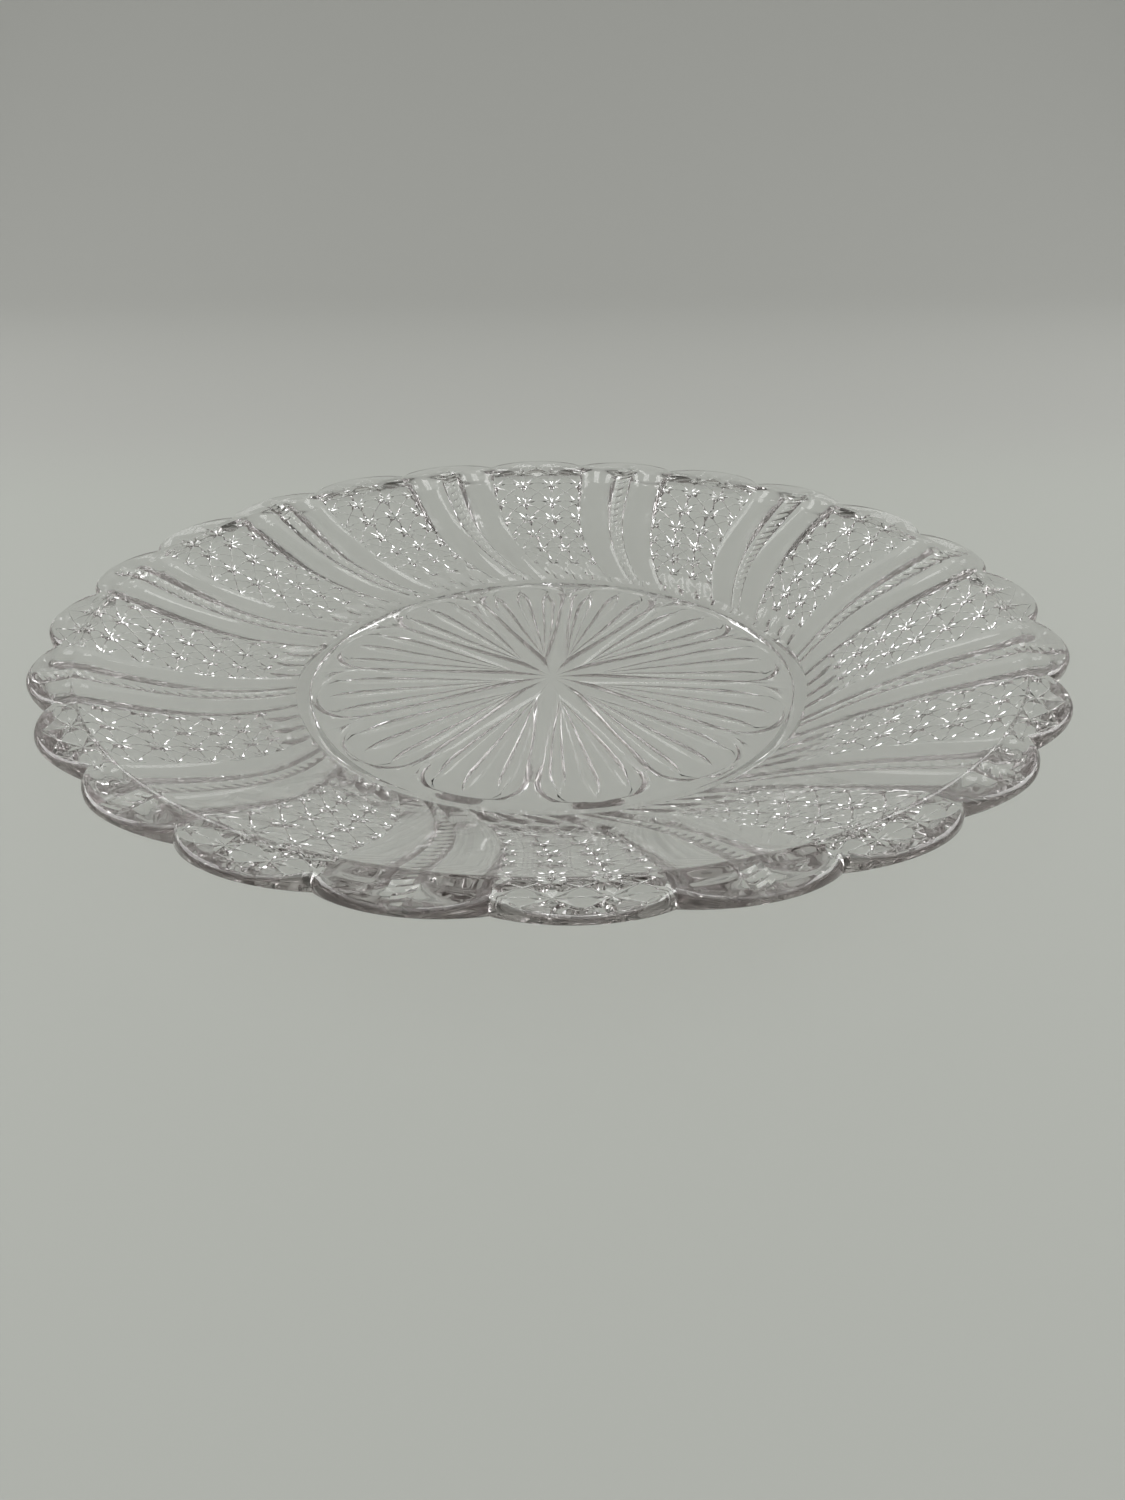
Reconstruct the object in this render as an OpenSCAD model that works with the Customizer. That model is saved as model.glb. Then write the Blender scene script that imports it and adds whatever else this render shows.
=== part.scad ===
// Pressed-glass serving plate, moulded in one piece.
// The top is smooth. The underside carries the relief: a border of swirling
// flute panels and diamond panels, a foot ring, and a rosette under the well.
// Millimetres. Z = 0 is the table and Z is the plate's axis.

/* [Overall] */
// Width across two opposite scallop tips
plate_d = 253; // [220:1:300]
// Height of the crest line of the rim above the table
rim_h = 26; // [20:0.5:36]
// Thickness of the border, square to its slope and without the relief
border_t = 3.6; // [2.5:0.1:4.5]
// Thickness of the flat well, without the relief
well_t = 4.2; // [3:0.1:7]
// How far the border sags below a straight line from ring to crest
border_sag = 0.8; // [0:0.1:3]

/* [Rim] */
// Pairs of one fluted and one diamond panel round the border
pairs = 12; // [8:1:16]
// Radius of the arc of each scallop
scallop_r = 24.5; // [22:0.5:32]
// Distance from the scallop tips in to the crest line
crest_in = 10.5; // [8:0.5:14]
// Fall of the rim's top from the crest line to the tips
rim_fall = 0.6; // [0:0.1:2]
// Height of the sharp outermost edge below the crest line
edge_drop = 1.8; // [1:0.1:3]
// Width of the bevel above the outermost edge
bevel_w = 1.2; // [0.5:0.1:2.5]
// Plain margin between the outermost edge and the relief
margin_w = 3; // [1.5:0.1:5]
// How much wider the bevel grows in the notch between two scallops
notch_w = 1.4; // [0:0.1:3]
// How far that notch rises into the underside
notch_h = 1.2; // [0:0.1:2]

/* [Border panels] */
// Turn of the whole border pattern about the axis
border_turn = -5.2; // [-15:0.1:15]
// How far the panels swirl between the rim and the foot, in degrees
swirl = 11.5; // [0:0.5:20]
// How late the swirl sets in: a higher power keeps the panels straight for longer
swirl_power = 3.5; // [1:0.1:5]
// Part of a flute panel's width that the notched rope takes
rope_share = 0.18; // [0.1:0.01:0.3]
// Height of the rounded flutes
flute_h = 1.3; // [0.5:0.1:2]
// Height of the rope's beads
rope_h = 1.4; // [0.5:0.1:2]
// Depth of the notches between the beads
rope_notch = 0.7; // [0.2:0.1:1.2]
// Height of the diamond points
diamond_h = 0.8; // [0.3:0.1:1.5]
// Rows of diamonds inside the crest line
diamond_rows = 5; // [3:1:6]
// Height of the three short flutes below each diamond panel
short_flute_h = 1; // [0.3:0.1:1.5]
// Length of these short flutes
short_flute_l = 8; // [5:0.5:12]

/* [Well and foot] */
// Radius of the bead round the well, at its middle
bead_r = 66; // [55:0.5:75]
// Width of the bead
bead_w = 5; // [3:0.5:8]
// Height of the bead
bead_h = 1; // [0.4:0.1:2]
// Width of the flat face of the foot ring
foot_w = 2.8; // [2:0.1:6]
// Height of the foot ring below the well's underside
foot_h = 2; // [1.2:0.1:4]
// Width of the sloping flanks of the foot ring
foot_flank = 1.2; // [0.6:0.1:2]

/* [Rosette] */
// Turn of the rosette about the axis
rosette_turn = -5.5; // [-15:0.1:15]
// Distance from the foot ring in to the tips of the petals
petal_gap = 0.8; // [0.5:0.1:4]
// Length of the notch where two neighbouring petals part
petal_notch = 10.4; // [6:0.2:16]
// Height of the ridge that outlines the petals
petal_ridge_h = 0.9; // [0.3:0.1:1.5]
// Height of the three leaves in each petal
leaf_h = 1; // [0.3:0.1:1.5]
// Radius at which the leaves and the spokes run out
leaf_inner_r = 13.6; // [8:0.5:20]

/* [Hidden] */
$fn = 96;

tip_r = plate_d / 2;
scallop_c = tip_r - scallop_r;             // from the axis to a scallop's centre
crest_r = tip_r - crest_in;
edge_z = rim_h - edge_drop;
foot_out = bead_r + foot_w / 2;            // the foot stands under the bead
foot_in = foot_out - foot_w;
flank_out = foot_out + foot_flank;
flank_in = foot_in - foot_flank;
well_z = foot_h + well_t;                  // top of the well
sector = 360 / pairs;
panel = sector / 2;

// Each sector is a fan of columns: a diamond panel, then flute, rope and flute.
diamond_cols = 6;
flute_cols = 4;
rope_cols = 2;
flute_a = diamond_cols;
rope_a = flute_a + flute_cols;
flute_b = rope_a + rope_cols;
cols = flute_b + flute_cols;
ring_n = cols * pairs;
flute_w = panel * (1 - rope_share) / 2;

// Half rows of the diamond lattice run from the crest in to the short flutes.
lattice_in = flank_out + short_flute_l;
half_rows = 2 * diamond_rows;
row_ratio = pow(lattice_in / crest_r, 1 / (half_rows + 1));
scallop_row = 0.6;                         // part-row in the scallops, crest to margin

// The bead is the top of a ring whose round section stands out of the well.
bead_round = (bead_w * bead_w / 4 + bead_h * bead_h) / (2 * bead_h);

// Places along a petal, as shares of the way from the leaves' inner ends to its
// outline: the ridge's outer foot, crown and inner foot, then four along the
// leaves. The other two lists shape the ridge and the leaves at these places.
petal_rows = [1, 0.955, 0.91, 0.72, 0.46, 0.2, 0];
ridge_shape = [0, 1, 0, 0, 0, 0, 0];
leaf_shape = [0, 0, 0, 0.7, 1, 0.7, 0];
petal_tip_r = flank_in - petal_gap;

function mix(a, b, t) = a + (b - a) * t;
function at(r, a, z) = [r * cos(a), r * sin(a), z];

// Top and underside of the border, on any radius from the foot to the crest
function border_top(r) =
    let (t = (r - bead_r) / (crest_r - bead_r))
    mix(well_z, rim_h, t) - 4 * border_sag * t * (1 - t);
border_fall = border_t * norm([1, (rim_h - well_z) / (crest_r - bead_r)]);
function border_under(r) = border_top(r) - border_fall;

// Angle of a column inside its sector, and of the panels' swirl at a radius
function col_turn(c) =
    c <= flute_a ? panel * c / diamond_cols
    : c <= rope_a ? panel + flute_w * (c - flute_a) / flute_cols
    : c <= flute_b ? mix(panel + flute_w, sector - flute_w, (c - rope_a) / rope_cols)
    : sector - flute_w + flute_w * (c - flute_b) / flute_cols;
function swirl_turn(r) =
    -swirl * pow(max(0, (crest_r - r) / (crest_r - flank_out)), swirl_power);
function border_angle(i, r) =
    border_turn + sector * floor(i / cols) + col_turn(i % cols) + swirl_turn(r);

// Scalloped edge: one arc over each panel
function edge_r(c) =
    let (a = col_turn(c) % panel - panel / 2)
    scallop_c * cos(a) + sqrt(pow(scallop_r, 2) - pow(scallop_c * sin(a), 2));

// Relief below the border's underside on column c of half row h
function round_rib(c, first) = 1 - pow(2 * (c - first) / flute_cols - 1, 2);
function border_relief(c, h) =
    c == 0 || c == flute_a ? 0
    : c < flute_a ? ((c + h) % 2 != 0 ? diamond_h : 0)
    : c < rope_a ? flute_h * round_rib(c, flute_a)
    : c == rope_a || c == flute_b ? 0
    : c < flute_b ? rope_h - (h % 2 != 0 ? rope_notch : 0)
    : flute_h * round_rib(c, flute_b);
function foot_relief(c) =
    c < flute_a ? (c % 2 != 0 ? short_flute_h : 0) : border_relief(c, 0);

// The rosette's columns are even, and are counted from a spoke between petals.
petal_col = sector / cols;
leaf_cols = cols / 4;                      // three leaves, and half a gap at each side
rosette_lag = round((rosette_turn - border_turn + swirl) / petal_col);
function rosette_angle(i) = rosette_turn + petal_col * (i - rosette_lag);
function petal_c(i) = (i - rosette_lag + ring_n) % cols;
function petal_r(c) =
    petal_tip_r - petal_notch * (1 - sqrt(1 - pow(2 * c / cols - 1, 2)));
function leaf_across(c) =
    c < leaf_cols / 2 || c > cols - leaf_cols / 2 ? 0
    : 1 - abs(2 * ((c / leaf_cols + 0.5) % 1) - 1);
function petal_relief(c, k) =
    max(petal_ridge_h * ridge_shape[k],
        c == 0 && k < len(petal_rows) - 1 ? petal_ridge_h : 0,
        leaf_h * leaf_shape[k] * leaf_across(c));

// Rings of points, from the rim's top round the edge and in along the underside
function in_notch(c) = c == 0 || c == flute_a ? 1 : 0;
function rim_ring(inset, z, notch_inset = 0, notch_rise = 0) =
    [for (i = [0:ring_n - 1])
        let (n = in_notch(i % cols), r = edge_r(i % cols) - inset - n * notch_inset)
        at(r, border_angle(i, r), z + n * notch_rise)];
function lattice_ring(h) =
    let (r = crest_r * pow(row_ratio, h + 1))
    [for (i = [0:ring_n - 1])
        at(r, border_angle(i, r), border_under(r) - border_relief(i % cols, h)
           + (h < 0 ? in_notch(i % cols) * notch_h / 2 : 0))];
function scallop_ring(t) =
    [for (i = [0:ring_n - 1])
        let (c = i % cols, r = mix(crest_r, edge_r(c) - margin_w, t))
        at(r, border_angle(i, r),
           border_under(crest_r) - border_relief(c, -2) + in_notch(c) * notch_h)];
function foot_ring(r) =
    [for (i = [0:ring_n - 1])
        at(r, border_angle(i, r), border_under(r) - foot_relief(i % cols))];
function plain_ring(r, z) = [for (i = [0:ring_n - 1]) at(r, rosette_angle(i), z)];
function petal_ring(k) =
    [for (i = [0:ring_n - 1])
        let (c = petal_c(i))
        at(mix(leaf_inner_r, petal_r(c), petal_rows[k]), rosette_angle(i),
           foot_h - petal_relief(c, k))];

rings = concat(
    [rim_ring(2 * bevel_w, edge_z + 2 * edge_drop, notch_inset = 2 * notch_w),
     rim_ring(0, edge_z),
     rim_ring(margin_w, border_under(crest_r), notch_rise = notch_h),
     scallop_ring(scallop_row)],
    [for (h = [-1:half_rows]) lattice_ring(h)],
    [foot_ring(mix(flank_out, lattice_in, 0.5)),
     foot_ring(flank_out),
     [for (i = [0:ring_n - 1]) at(foot_out, border_angle(i, foot_out), 0)],
     plain_ring(foot_in, 0),
     plain_ring(flank_in, foot_h)],
    [for (k = [0:len(petal_rows) - 1]) petal_ring(k)]);

// Skin between ring k and the next. In a diamond panel each square is folded
// along the line from valley corner to valley corner.
first_lattice = 4;                         // rings before the half row -1
function skin(k) =
    [for (i = [0:ring_n - 1])
        let (n = (i + 1) % ring_n, c = i % cols,
             a = k * ring_n + i, b = k * ring_n + n,
             d = a + ring_n, e = b + ring_n,
             even = (c + k - first_lattice - 1) % 2 == 0)
        each (c < diamond_cols && !even ? [[a, b, d], [b, e, d]] : [[a, b, e], [a, e, d]])];

// Glass before the dish is hollowed out of its top
module relief_body() {
    last = len(rings) - 1;
    points = concat([for (ring = rings) each ring],
                    [[0, 0, edge_z + 2 * edge_drop], [0, 0, foot_h]]);
    top = len(rings) * ring_n;
    polyhedron(points, concat(
        [for (i = [0:ring_n - 1]) [top, (i + 1) % ring_n, i]],
        [for (k = [0:last - 1]) each skin(k)],
        [for (i = [0:ring_n - 1])
            [last * ring_n + i, last * ring_n + (i + 1) % ring_n, top + 1]]));
}

// Space above the plate: the well, the bead, the border and the rim's top
module dish() {
    steps = 8;
    over = tip_r + 2;
    rotate_extrude()
        difference() {
            polygon(concat(
                [[0, well_z]],
                [for (s = [0:steps])
                    let (r = mix(bead_r, crest_r, s / steps))
                    [r, border_top(r)]],
                [[over, rim_h - rim_fall * (over - crest_r) / crest_in],
                 [over, 2 * rim_h], [0, 2 * rim_h]]));
            translate([bead_r, well_z + bead_h - bead_round])
                circle(bead_round);
        }
}

module plate() {
    color([0.9, 0.91, 0.9, 0.45])
        difference() {
            relief_body();
            dish();
        }
}

plate();
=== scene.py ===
from math import asin, atan2, cos, degrees, hypot, pi, radians, sin, sqrt

import bmesh
import bpy
from mathutils import Matrix, Vector


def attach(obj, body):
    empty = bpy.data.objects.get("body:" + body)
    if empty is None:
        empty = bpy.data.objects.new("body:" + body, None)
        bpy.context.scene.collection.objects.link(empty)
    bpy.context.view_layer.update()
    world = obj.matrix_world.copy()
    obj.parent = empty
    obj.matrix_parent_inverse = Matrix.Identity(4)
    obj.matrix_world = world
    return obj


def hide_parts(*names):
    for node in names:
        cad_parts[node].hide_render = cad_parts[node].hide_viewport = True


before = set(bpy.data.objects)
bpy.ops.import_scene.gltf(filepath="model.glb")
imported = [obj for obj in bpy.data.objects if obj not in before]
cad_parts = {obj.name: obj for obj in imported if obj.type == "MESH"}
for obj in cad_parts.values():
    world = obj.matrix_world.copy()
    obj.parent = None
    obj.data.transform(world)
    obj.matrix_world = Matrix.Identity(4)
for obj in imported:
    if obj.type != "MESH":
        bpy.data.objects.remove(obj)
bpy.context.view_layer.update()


# Plate: a serving plate of clear soda-lime glass, pressed in one piece and fire-polished. The plunger
# leaves its top smooth. The mould leaves relief on its underside: a border of swirling flutes and
# diamond stars, a foot ring, and a rosette under the well. Sizes are in millimetres and degrees.
tip_r, scallop_r = 126.5, 24.5
scallop_c = tip_r - scallop_r
crest_r, rim_h = 116, 26
bead_r, well_z = 66, 6.2
border_sag, border_fall = 0.8, 4.5              # the dip of the border, and its glass measured upright
flank_out, foot_swell, foot_swell_r = 68.2, 1, 88
low_r, cone = 121, 0.45                         # beyond low_r the lower face climbs to the edge
sector, panel, cell = 30, 15, 5
border_turn, swirl, swirl_power = -5.2, 11.5, 3.5


def mix(a, b, t):
    return a + (b - a) * t


def border_top(r):
    t = (r - bead_r) / (crest_r - bead_r)
    return mix(well_z, rim_h, t) - 4 * border_sag * t * (1 - t)


def border_under(r):
    """Height of the plain underside. The glass swells a little where it comes to the foot."""
    swell = foot_swell * max(0, (foot_swell_r - r) / (foot_swell_r - flank_out)) ** 2
    return border_top(min(r, crest_r)) - border_fall - swell + cone * max(0, r - low_r)


def scallop_edge(turn):
    a = radians(turn % panel - panel / 2)
    return scallop_c * cos(a) + sqrt(scallop_r ** 2 - (scallop_c * sin(a)) ** 2)


def swirl_turn(r):
    return -swirl * max(0, (crest_r - r) / (crest_r - flank_out)) ** swirl_power


def polar(r, turn, z):
    return (r * cos(radians(turn)), r * sin(radians(turn)), z)


# One sector of the border is laid out flat first, in cells of five degrees. The diamond panel is three
# cells wide, and so is the flute panel beside it. Rows run from the scallop's edge in to the foot.
panel_cells, fine = 3, 8                        # fine is the number of faces along a cell's side
edge_y, outer_y, first_y, last_y, foot_y = -2, -1, 0, 5, 6
margin_w, outer_star_r, star_r, lattice_r = 1.5, 118.4, 112.9, 77
tiny, weld = 1e-4, 1e-3
pressing = bmesh.new()


def flat_grid(x0, y0, across, along, per_cell):
    middle = Matrix.Translation((x0 + across / 2, y0 + along / 2, 0))
    return bmesh.ops.create_grid(pressing, x_segments=across * per_cell, y_segments=along * per_cell,
                                 size=0.5, matrix=middle @ Matrix.Diagonal((across, along, 1, 1)))


def layout_r(x, y):
    """Radius of a point of the flat layout"""
    if y < outer_y:
        return mix(outer_star_r, scallop_edge(cell * x) - margin_w, outer_y - y)
    if y < first_y:
        return mix(star_r, outer_star_r, first_y - y)
    if y < last_y:
        return star_r * (lattice_r / star_r) ** (y / last_y)
    return mix(lattice_r, flank_out, y - last_y)


# Diamond stars: each cell is parted by its diagonals, and a star of eight rays stands where these lines
# cross at a cell's corner. Its rays taper out along the lines, those towards the rim the longest.
star_h, star_half_w, line_h, line_half_w = 1.1, 0.15, 0.1, 0.025
outer_star_h, outer_line_h = 0.4, 0.03
long_ray, slant_ray, cross_ray, star_between = 0.48, 0.42, 0.28, 45
flat_grid(0, edge_y, panel_cells, last_y - edge_y, 1)
bmesh.ops.poke(pressing, faces=pressing.faces)
bmesh.ops.bisect_edges(pressing, edges=pressing.edges, cuts=fine - 1)
bmesh.ops.inset_individual(pressing, faces=pressing.faces, thickness=line_half_w, use_even_offset=True)
facet = pressing.faces.layers.int.new("facet")
for f in pressing.faces:
    f[facet] = 1


def ray_share(dx, dy):
    """How much of a ray is left at a distance from its star, from 1 to 0"""
    reach = long_ray if abs(dx) < tiny else cross_ray if abs(dy) < tiny else slant_ray
    return max(0, 1 - (dx * dx + dy * dy) / reach ** 2)


def star_near(x, y):
    return round(x), max(outer_y, round(y))


def line_height(x, y):
    """Height of a line of the layout, in millimetres"""
    if y < edge_y + tiny:
        return 0
    star_x, star_y = star_near(x, y)
    star, line = (star_h, line_h) if star_y >= first_y else (outer_star_h, outer_line_h)
    return max(line, star * ray_share(x - star_x, y - star_y))


# Where the edges of two neighbouring rays meet, measured from the star's middle
half_between, meet, meet_step = radians(star_between / 2), 0, 0.001
while meet * sin(half_between) < star_half_w * ray_share(0, meet * cos(half_between)):
    meet += meet_step

# A point on a line is lifted. One beside a line moves away from it, as far as the ray is wide there.
for v in pressing.verts:
    x, y = v.co.xy
    x0, y0 = x // 1, y // 1
    main, cross = (x - x0 + y - y0) / 2, (1 + x - x0 - y + y0) / 2
    feet = ((x, y0), (x, y0 + 1), (x0, y), (x0 + 1, y),
            (x0 + main, y0 + main), (x0 + cross, y0 + 1 - cross))
    off, line_x, line_y = min((hypot(x - fx, y - fy), fx, fy) for fx, fy in feet)
    if off < tiny:
        v.co.z = line_height(x, y)
        continue
    star_x, star_y = star_near(line_x, line_y)
    if hypot(line_x - star_x, line_y - star_y) < meet * cos(half_between):
        wedge = degrees(atan2(y - star_y, x - star_x)) // star_between + 0.5
        dx, dy, _ = polar(meet, wedge * star_between, 0)
        v.co.x, v.co.y = star_x + dx, star_y + dy
    else:
        widen = max(line_half_w, star_half_w * ray_share(line_x - star_x, line_y - star_y)) / off
        v.co.x, v.co.y = mix(line_x, x, widen), mix(line_y, y, widen)

# Short flutes below each diamond panel: three ribs with pointed outer ends
short_flute_h, short_flute_point = 1.3, 0.6


def dome(u):
    return sqrt(max(0, 1 - u * u))


for v in flat_grid(0, last_y, panel_cells, foot_y - last_y, fine)["verts"]:
    width = min(1, (v.co.y - last_y) / short_flute_point)
    if width < tiny:
        v.co.z = line_height(v.co.x, v.co.y)
    else:
        v.co.z = short_flute_h * width * dome(min(1, abs(2 * (v.co.x % 1) - 1) / width))

# Flute panel: two broad flutes that swell towards the rim, with a notched rope between. Their crowns
# keep the border's slope beyond the crest line, so they run out in arches under the flat rim.
flute_mid, flute_half_w = 1.5 * panel_cells, 0.625
flute_h, rim_flute_h, swell_r = 0.8, 2.4, 85
rope_h, rope_half_w, rope_end = 0.6, 0.25, 0.25
rope_notch, rope_pitch, rope_slant, slant_ease = 0.5, 3, 0.7, 4
crest_slope = border_top(crest_r) - border_top(crest_r - 1)
for v in flat_grid(panel_cells, edge_y, panel_cells, foot_y - edge_y, fine)["verts"]:
    x, y = v.co.xy
    off = x - flute_mid
    side = 1 if off > 0 else -1
    row = round(fine * (y - edge_y))
    if abs(off) > panel_cells / 2 - tiny:
        v.co.z = line_height(x, y) if y < last_y + tiny else 0
    elif abs(off) < rope_half_w + tiny:
        reach = min(1, (y - edge_y) / rope_end)
        notch = rope_notch if row % rope_pitch == 0 else 0
        v.co.z = rope_h * reach * dome(off / rope_half_w) * (1 - notch)
    else:
        u = sin(pi / 2 * (abs(off) - rope_half_w - flute_half_w) / flute_half_w)
        v.co.x = flute_mid + side * (rope_half_w + flute_half_w * (1 + u))
        r = layout_r(v.co.x, y)
        swell = min(1, max(0, (r - swell_r) / (crest_r - swell_r)))
        crown = mix(flute_h, rim_flute_h, swell * swell * (3 - 2 * swell)) * dome(u)
        v.co.z = max(0, crown - crest_slope * max(0, r - crest_r))
    beside = 1 - (abs(off) - rope_half_w) / (2 * flute_half_w)
    lean = off if abs(off) < rope_half_w else side * rope_half_w * beside
    v.co.y += rope_slant * lean * min(1, slant_ease * (y - edge_y), slant_ease * (foot_y - y))

bmesh.ops.remove_doubles(pressing, verts=pressing.verts, dist=tiny)

# The flat layout is wrapped on to the underside of the border, with its swirl and its scallops, and
# the sector is repeated round the plate.
for v in pressing.verts:
    x, y, relief = v.co
    r = layout_r(x, y)
    v.co = polar(r, border_turn + cell * x + swirl_turn(r), border_under(r) - relief * r / star_r)

bmesh.ops.spin(pressing, geom=pressing.verts[:] + pressing.edges[:] + pressing.faces[:], cent=(0, 0, 0),
               axis=(0, 0, 1), angle=radians(360 - sector), steps=360 // sector - 1, use_duplicate=True)
bmesh.ops.remove_doubles(pressing, verts=pressing.verts, dist=weld)

# From here the glass grows ring by ring from the border's two open edges, in one column for each point.
columns = 360 // cell * fine
column = pressing.verts.layers.int.new("column")
# painted shade along the outer edge, carried as a point attribute
edge_shade_layer = pressing.verts.layers.float.new("painted_edge_shade")
open_edges = [e for e in pressing.edges if e.is_boundary]
rim_loop = [e for e in open_edges if hypot(*e.verts[0].co.xy) > lattice_r]
foot_loop = [e for e in open_edges if hypot(*e.verts[0].co.xy) < lattice_r]
for loop, turned in ((rim_loop, 0), (foot_loop, swirl)):
    for v in {v for e in loop for v in e.verts}:
        turn = degrees(atan2(v.co.y, v.co.x)) - border_turn + turned
        v[column] = round(turn * columns / 360) % columns


def grow(loop, place, edge_shade=0):
    """Adds a row of faces, which don't keep the stars' facets, and gives its new edge"""
    grown = bmesh.ops.extrude_edge_only(pressing, edges=loop)["geom"]
    points = {g for g in grown if isinstance(g, bmesh.types.BMVert)}
    for v in points:
        v.co = place(v[column])
        # marks the point for the painted shade along the outer edge
        v[edge_shade_layer] = edge_shade
        for f in v.link_faces:
            f[facet] = 0
    return [g for g in grown if isinstance(g, bmesh.types.BMEdge) and points.issuperset(g.verts)]


def close(loop, z):
    bmesh.ops.pointmerge(pressing, verts=list({v for e in loop for v in e.verts}), merge_co=(0, 0, z))


def column_turn(c):
    return c * 360 / columns


def ring_point(r, z, turned=0):
    return lambda c: polar(r, border_turn - turned + column_turn(c), z)


# Rim: the conical lower face ends in a rolled edge, which dips into the notch between two scallops.
# A nearly flat top leads in to the crest, where the plunger met the ring of the mould and left a line.
under_round, roll_w, roll_h, rim_top_z = 0.4, 1.3, 1.05, 25.45
notch_w, notch_h, notch_turn = 1, 1.1, 1.75
edge_shade_span = 60                                 # painted shade darkens the edge this far up and down from level
flat_rows = (0.06, 0.94)                        # close to both ends, to keep the shading flat
border_out_r = 115
crest_line = ((116.9, 25.86), (116.65, 25.9), (116.45, 25.96), (116.3, 26), (116.1, 26.02),
              (115.9, 25.97), (115.6, 25.84), (115.3, 25.69), (border_out_r, border_top(border_out_r)))


def under_edge(a):
    def place(c):
        turn = column_turn(c)
        r = scallop_edge(turn)
        inset, rise = under_round * (1 - cos(radians(a))), under_round * (1 + sin(radians(a)))
        return polar(r - inset, border_turn + turn, border_under(r - under_round) + rise)
    return place


def rolled_edge(a):
    def place(c):
        turn = column_turn(c)
        at_notch = max(0, 1 - abs((turn + panel / 2) % panel - panel / 2) / notch_turn)
        inset = (roll_w + notch_w * at_notch) * (1 - cos(radians(a)))
        drop = (roll_h + notch_h * at_notch) * (1 - sin(radians(a)))
        return polar(scallop_edge(turn) - inset, border_turn + turn, rim_top_z - drop)
    return place


# The rounded edge runs from straight down, over level, to straight up.
loop = rim_loop
for a in range(-90, 1, 18):
    loop = grow(loop, under_edge(a), int(abs(a) < edge_shade_span))
for a in range(0, 91, 15):
    loop = grow(loop, rolled_edge(a), int(abs(a) < edge_shade_span))
outer, inner = rolled_edge(90), ring_point(*crest_line[0])
for share in flat_rows:
    loop = grow(loop, lambda c: Vector(outer(c)).lerp(Vector(inner(c)), share))
for r, z in crest_line:
    loop = grow(loop, ring_point(r, z))

# Smooth top: the border falls in to a rounded bead, and the flat well lies inside it
bead_w, bead_h, bead_foot_r = 5, 0.4, 67
bead_round = (bead_w ** 2 / 4 + bead_h ** 2) / (2 * bead_h)
top_steps, bead_steps, well_edge_r, well_mid_r = 9, 8, 63.3, 1
for s in range(1, top_steps + 1):
    r = mix(border_out_r, bead_foot_r, s / top_steps)
    loop = grow(loop, ring_point(r, border_top(r)))
for s in range(1, bead_steps + 1):
    r = mix(bead_foot_r, bead_r - bead_w / 2, s / bead_steps)
    rise = sqrt(bead_round ** 2 - (r - bead_r) ** 2)
    loop = grow(loop, ring_point(r, well_z + bead_h - bead_round + rise))
for r in (well_edge_r, well_mid_r):
    loop = grow(loop, ring_point(r, well_z))
close(loop, well_z)

# Foot ring: a flat face with sloping flanks
flank_in, foot_h = 63.9, 1.5
foot_section = ((67.8, 0.6), (67.5, 0.15), (67, 0), (65, 0),
                (64.5, 0.15), (64.2, 0.6), (flank_in, foot_h))
loop = foot_loop
for r, z in foot_section:
    loop = grow(loop, ring_point(r, z, swirl))

# Rosette: twelve petals with three leaves each. Rounded bands part the petals and meet in a star
# at the middle. Columns run 0 to 48 from one band's middle to the next, along the leaves' edges.
first_band, petal_cols, mid_col = 18, 48, 24
rosette_turn = border_turn - swirl + column_turn(first_band)
arch_side_r, arch_rise, arch_wall, petal_end_r = 52, 9.8, 0.8, 12
band_h, band_half_w, band_taper, shoulder_w, plain_ease = 0.6, 2, 20, 1.5, 4
band_end_half_w = petal_end_r * sin(radians(panel))
band_cols = (1, 0.9, 0.7, 0.4, 0)               # shares of the half band, from its edge to its middle
band_edge = len(band_cols) - 1
floor_half_cols = mid_col - band_edge
hook, hook_power, hook_r, hook_run, hook_spread = 2.4, 3, 44, 8, 0.8
leaf_w, leaf_h, leaf_end_r, leaf_gap, leaf_bulge, leaf_tip_w = 4, 0.65, 5, 3, 8, 0.15
leaf_round, leaf_fill, leaf_pitch, leaf_half_cols = 0.75, 0.8, 2 / 3, 4
across_cols = (4, 7, 11, 15, 20, 24, 28, 33, 37, 41, 44)
ridge_cols = across_cols[2::3]
plain_rows, shoulder_rows = (0.4, 0.75), (shoulder_w, 1, 0.55, 0.2, 0)
leaf_rows = (0, 0.02, 0.045, 0.08, 0.12, 0.17, 0.23, 0.3, 0.38, 0.47, 0.57, 0.67, 0.77, 0.86, 0.94, 1)
star_rows = (8, 5, 2.5, 0.8)


def band_half(r):
    return mix(band_end_half_w, band_half_w, min(1, max(0, (r - petal_end_r) / band_taper)))


def petal_half(r):
    return max(0, panel - degrees(asin(min(1, band_half(r) / r)))) if r > petal_end_r else 0


def leaf_width(r, tip):
    inside = tip - r
    if inside <= 0:
        return leaf_tip_w
    if inside < leaf_bulge:
        return leaf_w * (1 - (1 - inside / leaf_bulge) ** 2) ** leaf_round
    taper = leaf_w * max(0, (r - leaf_end_r) / (tip - leaf_bulge - leaf_end_r))
    return min(taper, leaf_fill * r * radians(petal_half(r)) * leaf_pitch)


def across(c, r, tip):
    """Where column c lies across the petal at radius r, from -1 to 1"""
    half_mm = r * radians(petal_half(r))
    w = leaf_width(r, tip) / 2 / half_mm if half_mm > 0 else 0
    stops = (-1, -leaf_pitch - w, -leaf_pitch, -leaf_pitch + w, -w, 0,
             w, leaf_pitch - w, leaf_pitch, leaf_pitch + w, 1)
    spans = zip(across_cols, across_cols[1:], stops, stops[1:])
    return next(mix(p, q, (c - a) / (b - a)) for a, b, p, q in spans if a <= c <= b)


def in_band(c):
    return c < band_edge or c > petal_cols - band_edge


def band_share(c):
    """How far a band's column lies from the band's middle, from 0 to 1"""
    return band_cols[band_edge - min(c, petal_cols - c)]


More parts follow.
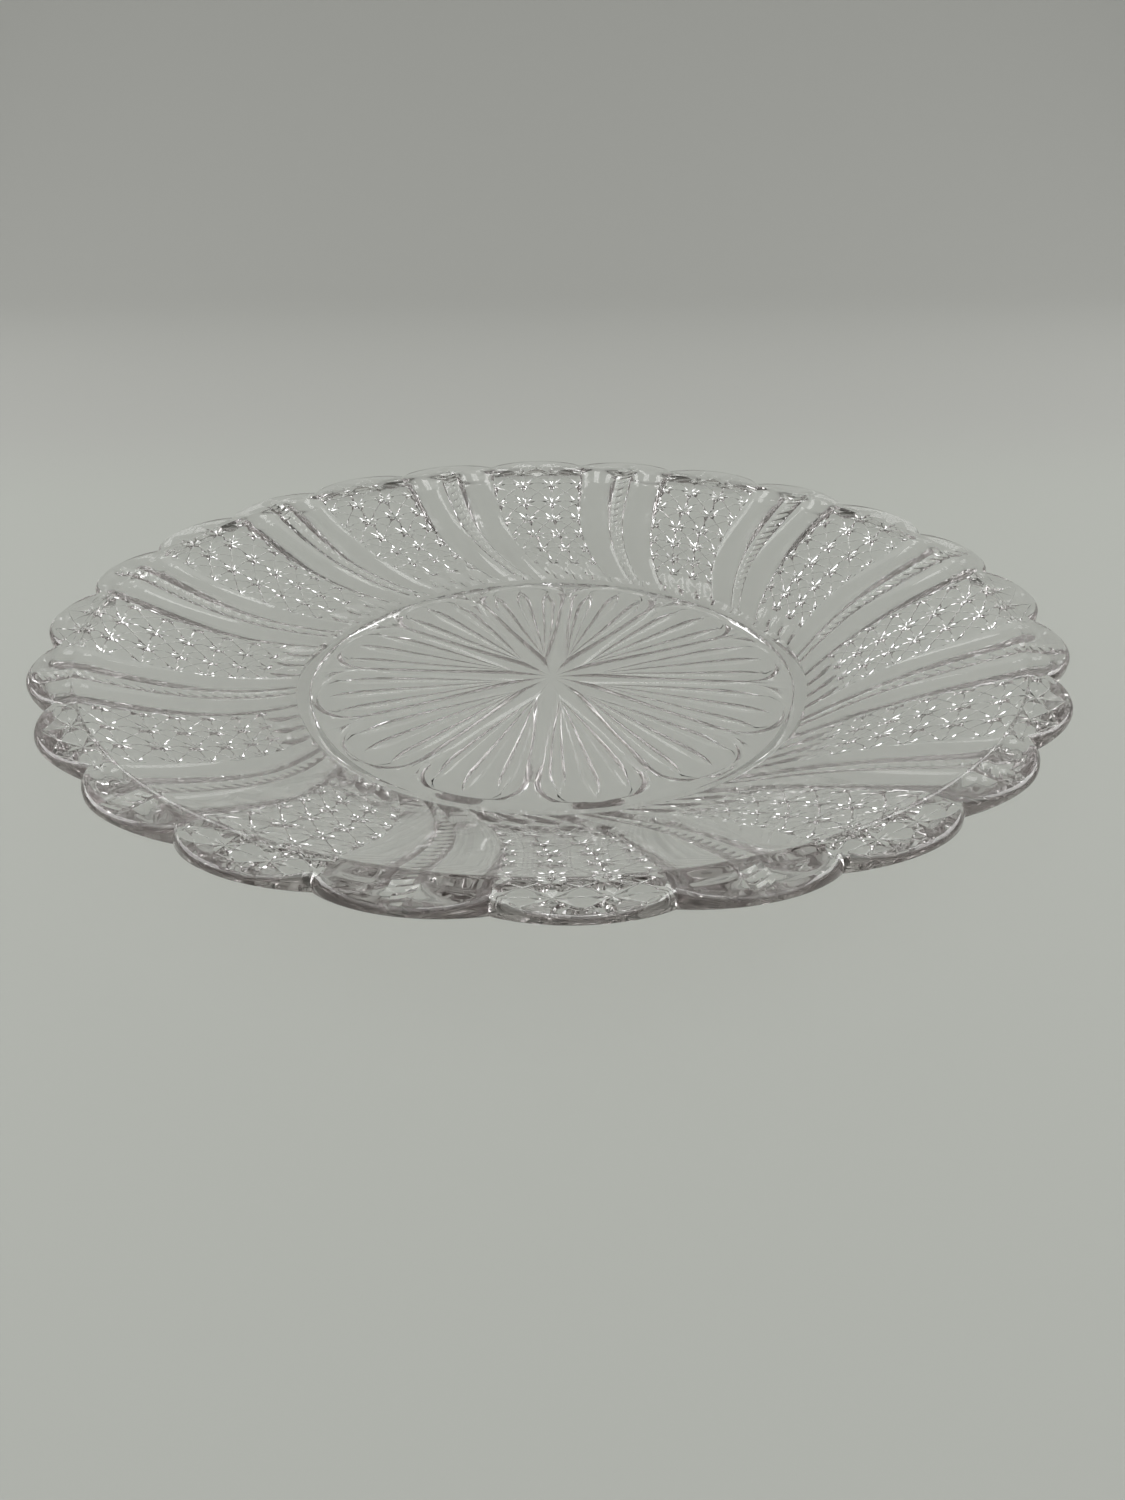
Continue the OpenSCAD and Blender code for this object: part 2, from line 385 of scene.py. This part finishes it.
def band_side(c):
    return -1 if c < band_edge else 1


def arch_point(c):
    """Outline of the petal's floor on column c, with the petal's axis along +Y"""
    if in_band(c):
        x = arch_side_r * sin(radians(panel)) - band_half_w * band_share(c)
        return band_side(c) * x, arch_side_r * cos(radians(panel))
    q = (c - mid_col) / floor_half_cols
    a, r = radians(q * petal_half(arch_side_r)), arch_side_r + arch_rise * dome(q)
    return r * sin(a), r * cos(a)


def rosette_point(shape):
    def place(c):
        petal, c = divmod((c - first_band) % columns, petal_cols)
        r, turn, relief = shape(c)
        return polar(r, rosette_turn + sector * petal + panel + turn, foot_h - band_h + relief)
    return place


def round_shoulder(d):
    return band_h * (1 - (1 - min(1, d / band_half_w)) ** 2)


def shoulder(d):
    """The band's rounded shoulder, d outwards from the petal's floor, with a hook at the petal's ends"""
    def shape(c):
        if in_band(c):
            dist = d + (band_half_w - d) * (1 - band_share(c))
            turn = panel - degrees((band_half_w - dist) / arch_side_r)
            return arch_side_r + hook_spread * d, band_side(c) * turn, hook * round_shoulder(dist)
        x, y = arch_point(c)
        x0, y0 = arch_point(max(band_edge, c - 1))
        x1, y1 = arch_point(min(petal_cols - band_edge, c + 1))
        length = hypot(x1 - x0, y1 - y0)
        x, y = x - (y1 - y0) / length * d, y + (x1 - x0) / length * d
        wall = mix(arch_wall, hook, abs((c - mid_col) / floor_half_cols) ** hook_power)
        return hypot(x, y), degrees(atan2(x, y)), wall * round_shoulder(d)
    return shape


def out_to_foot(t):
    """The plain band between the petals and the foot ring"""
    near = shoulder(shoulder_w)

    def shape(c):
        r, turn, relief = near(c)
        foot_turn = (c - mid_col) * sector / petal_cols
        return mix(flank_in, r, t), mix(foot_turn, turn, t), mix(band_h, relief, t ** plain_ease)
    return shape


def floor_row(t):
    """A row across bands and petals, t of the way from the leaves' tips to the petal's end"""
    def shape(c):
        tip = hypot(*arch_point(c)) - leaf_gap
        r = mix(tip, petal_end_r, t)
        if in_band(c):
            turn = panel - degrees(asin(band_half(r) * band_share(c) / r))
            wall = mix(1, hook, min(1, max(0, r - hook_r) / hook_run))
            return r, band_side(c) * turn, wall * band_h * (1 - band_share(c) ** 2)
        if r <= petal_end_r:
            return petal_end_r, 0, 0
        relief = 0
        for ridge in ridge_cols:
            if abs(c - ridge) < leaf_half_cols:
                swell = 1 - (abs(c - ridge) / leaf_half_cols) ** 2
                relief = leaf_h * leaf_width(r, tip) / leaf_w * swell
        return r, across(c, r, tip) * petal_half(r), relief
    return shape


def star_row(r):
    """Inside the petals only the bands are left, with a valley between each two"""
    def shape(c):
        x, turn = r * sin(radians(panel)), 0
        if in_band(c):
            x *= band_share(c)
            turn = band_side(c) * (panel - degrees(asin(x / r)))
        return r, turn, band_h * (1 - (x / band_end_half_w) ** 2)
    return shape


for t in plain_rows:
    loop = grow(loop, rosette_point(out_to_foot(t)))
for d in shoulder_rows:
    loop = grow(loop, rosette_point(shoulder(d)))
for t in leaf_rows:
    loop = grow(loop, rosette_point(floor_row(t)))
for r in star_rows:
    loop = grow(loop, rosette_point(star_row(r)))
close(loop, foot_h)

# Facets and steep creases stay sharp, and fire-polish makes the rest smooth.
crease, metres = radians(20), 0.001
bmesh.ops.remove_doubles(pressing, verts=pressing.verts, dist=weld)
bmesh.ops.recalc_face_normals(pressing, faces=pressing.faces)
for f in pressing.faces:
    f.smooth = True
for e in pressing.edges:
    e.smooth = e.calc_face_angle(0) < crease and not any(f[facet] for f in e.link_faces)
bmesh.ops.scale(pressing, vec=(metres, metres, metres), verts=pressing.verts)

plate_mesh = bpy.data.meshes.new("plate_glass")
pressing.to_mesh(plate_mesh)
pressing.free()
plate = bpy.data.objects.new("plate_glass", plate_mesh)
bpy.context.scene.collection.objects.link(plate)

clear_glass = bpy.data.materials.new("clear_glass")
clear_glass.use_nodes = True
glass_nodes, glass_links = clear_glass.node_tree.nodes, clear_glass.node_tree.links
glass = glass_nodes["Principled BSDF"]
glass.inputs["IOR"].default_value = 1.51
glass.inputs["Transmission Weight"].default_value = 1
# Painted shade: light that enters the thick outer edge comes from deep inside the glass, so the edge
# looks dark and smoky, and this is painted into the glass's colour there.
edge = glass_nodes.new("ShaderNodeAttribute")
edge.attribute_name = "painted_edge_shade"
edge_shade_ramp = glass_nodes.new("ShaderNodeValToRGB")
edge_shade_ramp.color_ramp.elements[0].color = (0.99, 0.99, 0.99, 1)
edge_shade_ramp.color_ramp.elements[1].color = (0.36, 0.33, 0.32, 1)
glass_links.new(edge.outputs["Fac"], edge_shade_ramp.inputs["Fac"])
glass_links.new(edge_shade_ramp.outputs["Color"], glass.inputs["Base Color"])
# Wear leaves the polish a little uneven.
glass_coords = glass_nodes.new("ShaderNodeTexCoord")
wear = glass_nodes.new("ShaderNodeTexNoise")
wear.inputs["Scale"].default_value = 40
polish = glass_nodes.new("ShaderNodeMapRange")
polish.inputs["To Min"].default_value, polish.inputs["To Max"].default_value = 0, 0.008
glass_links.new(glass_coords.outputs["Object"], wear.inputs["Vector"])
glass_links.new(wear.outputs["Fac"], polish.inputs["Value"])
glass_links.new(polish.outputs["Result"], glass.inputs["Roughness"])
# The melt has a faint warm grey tint.
tint = glass_nodes.new("ShaderNodeVolumeAbsorption")
tint.inputs["Color"].default_value = (0.70, 0.672, 0.668, 1)
tint.inputs["Density"].default_value = 22
glass_out = glass_nodes["Material Output"]
glass_links.new(tint.outputs["Volume"], glass_out.inputs["Volume"])
# Lamps shine through the glass on to the floor, and less so where it is seen edge on.
see_through = glass_nodes.new("ShaderNodeBsdfTransparent")
edge_on = glass_nodes.new("ShaderNodeLayerWeight")
edge_on.inputs["Blend"].default_value = 0.5
dim = glass_nodes.new("ShaderNodeValToRGB")
dim.color_ramp.elements[0].position = 0.7
dim.color_ramp.elements[0].color = (0.99, 0.99, 0.99, 1)
dim.color_ramp.elements[1].color = (0.6, 0.6, 0.6, 1)
glass_links.new(edge_on.outputs["Facing"], dim.inputs["Fac"])
glass_links.new(dim.outputs["Color"], see_through.inputs["Color"])
ray = glass_nodes.new("ShaderNodeLightPath")
lamp_ray = glass_nodes.new("ShaderNodeMath")
lamp_ray.operation = "MAXIMUM"
through = glass_nodes.new("ShaderNodeMixShader")
glass_links.new(ray.outputs["Is Shadow Ray"], lamp_ray.inputs[0])
glass_links.new(ray.outputs["Is Diffuse Ray"], lamp_ray.inputs[1])
glass_links.new(lamp_ray.outputs["Value"], through.inputs["Fac"])
glass_links.new(glass.outputs["BSDF"], through.inputs[1])
glass_links.new(see_through.outputs["BSDF"], through.inputs[2])
glass_links.new(through.outputs["Shader"], glass_out.inputs["Surface"])
plate_mesh.materials.append(clear_glass)

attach(plate, "root")
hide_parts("plate")


# Floor: a wide sheet of pale grey paper. It lies flat under the plate, bends up behind it and hangs
# from its top edge, so that no corner shows at the back. Sizes are in metres.
paper_half, paper_back_y, paper_top_z = 2, 0.6, 2
bend_r, bend_steps = 0.35, 12
sweep = bmesh.new()
bmesh.ops.create_grid(sweep, x_segments=1, y_segments=1, size=paper_half,
                      matrix=Matrix.Translation((0, paper_back_y - paper_half, 0)))
back = [e for e in sweep.edges if all(v.co.y > 0 for v in e.verts)]
for s in range(1, bend_steps + 1):
    a = radians(90 * s / bend_steps)
    grown = bmesh.ops.extrude_edge_only(sweep, edges=back)["geom"]
    points = [g for g in grown if isinstance(g, bmesh.types.BMVert)]
    for v in points:
        v.co.y, v.co.z = paper_back_y + bend_r * sin(a), bend_r * (1 - cos(a))
    back = [g for g in grown if isinstance(g, bmesh.types.BMEdge) and all(v in points for v in g.verts)]
grown = bmesh.ops.extrude_edge_only(sweep, edges=back)["geom"]
for v in (g for g in grown if isinstance(g, bmesh.types.BMVert)):
    v.co.z = paper_top_z
bmesh.ops.recalc_face_normals(sweep, faces=sweep.faces)
for f in sweep.faces:
    f.smooth = True
sweep_mesh = bpy.data.meshes.new("paper_sweep")
sweep.to_mesh(sweep_mesh)
sweep.free()
paper = bpy.data.objects.new("paper_sweep", sweep_mesh)
bpy.context.scene.collection.objects.link(paper)

# The paper's colour is painted a little greyer behind the plate, as painted shade for the dimmer light
# towards the back.
pale_paper = bpy.data.materials.new("pale_paper")
pale_paper.use_nodes = True
paper_nodes, paper_links = pale_paper.node_tree.nodes, pale_paper.node_tree.links
paper_shader = paper_nodes["Principled BSDF"]
paper_shader.inputs["Roughness"].default_value = 0.7
paper_coords = paper_nodes.new("ShaderNodeTexCoord")
paper_axes = paper_nodes.new("ShaderNodeSeparateXYZ")
fade = paper_nodes.new("ShaderNodeMapRange")
fade.interpolation_type = "SMOOTHSTEP"
fade.inputs["From Min"].default_value, fade.inputs["From Max"].default_value = 0.14, 0.3
shade = paper_nodes.new("ShaderNodeValToRGB")
shade.color_ramp.elements[0].color = (0.45, 0.465, 0.43, 1)
shade.color_ramp.elements[1].color = (0.43, 0.435, 0.41, 1)
paper_links.new(paper_coords.outputs["Object"], paper_axes.inputs["Vector"])
paper_links.new(paper_axes.outputs["Y"], fade.inputs["Value"])
paper_links.new(fade.outputs["Result"], shade.inputs["Fac"])
paper_links.new(shade.outputs["Color"], paper_shader.inputs["Base Color"])
sweep_mesh.materials.append(pale_paper)


# Light: a broad window on either side behind the plate, a soft box over the camera's side and a
# small ceiling lamp, in a dim grey room. The windows face the plate, and the other lamps face down.
room = bpy.data.worlds.new("grey_room")
bpy.context.scene.world = room
room.use_nodes = True
room_light = room.node_tree.nodes["Background"]
room_light.inputs["Color"].default_value = (0.2, 0.2, 0.193, 1)
room_light.inputs["Strength"].default_value = 1
for name, size, spot, power in (("left_window", (0.64, 0.56), (-0.77, 0.3, 0.66), 3.8),
                                ("right_window", (0.64, 0.56), (0.77, 0.3, 0.66), 3.8),
                                ("soft_box", (2.2, 0.85), (0, -0.325, 0.9), 5),
                                ("ceiling_lamp", (0.3, 0.3), (0, 0.15, 1), 1.2)):
    lamp = bpy.data.lights.new(name, "AREA")
    lamp.shape, lamp.energy = "RECTANGLE", power
    lamp.size, lamp.size_y = size
    lamp_stand = bpy.data.objects.new(name, lamp)
    lamp_stand.location = spot
    if "window" in name:
        lamp_stand.rotation_euler = Vector(spot).to_track_quat("Z", "Y").to_euler()
    bpy.context.scene.collection.objects.link(lamp_stand)


# Camera: at the photo's viewpoint, close to the plate and a little above it. Light passes many faces
# of the glass before it gets there, so its paths may be long. Places are in metres.
photo_lens = bpy.data.cameras.new("camera")
photo_lens.lens, photo_lens.sensor_width = 27.048, 36
photo_lens.clip_start = 0.01
camera = bpy.data.objects.new("camera", photo_lens)
camera.location = (0, -0.26926, 0.14345)
camera.rotation_euler = [radians(a) for a in (58.967, 0.221, -0.705)]
bpy.context.scene.collection.objects.link(camera)
bpy.context.scene.camera = camera
bpy.context.scene.view_settings.view_transform = "Standard"
paths = bpy.context.scene.cycles
paths.max_bounces, paths.glossy_bounces, paths.transmission_bounces = 32, 24, 32
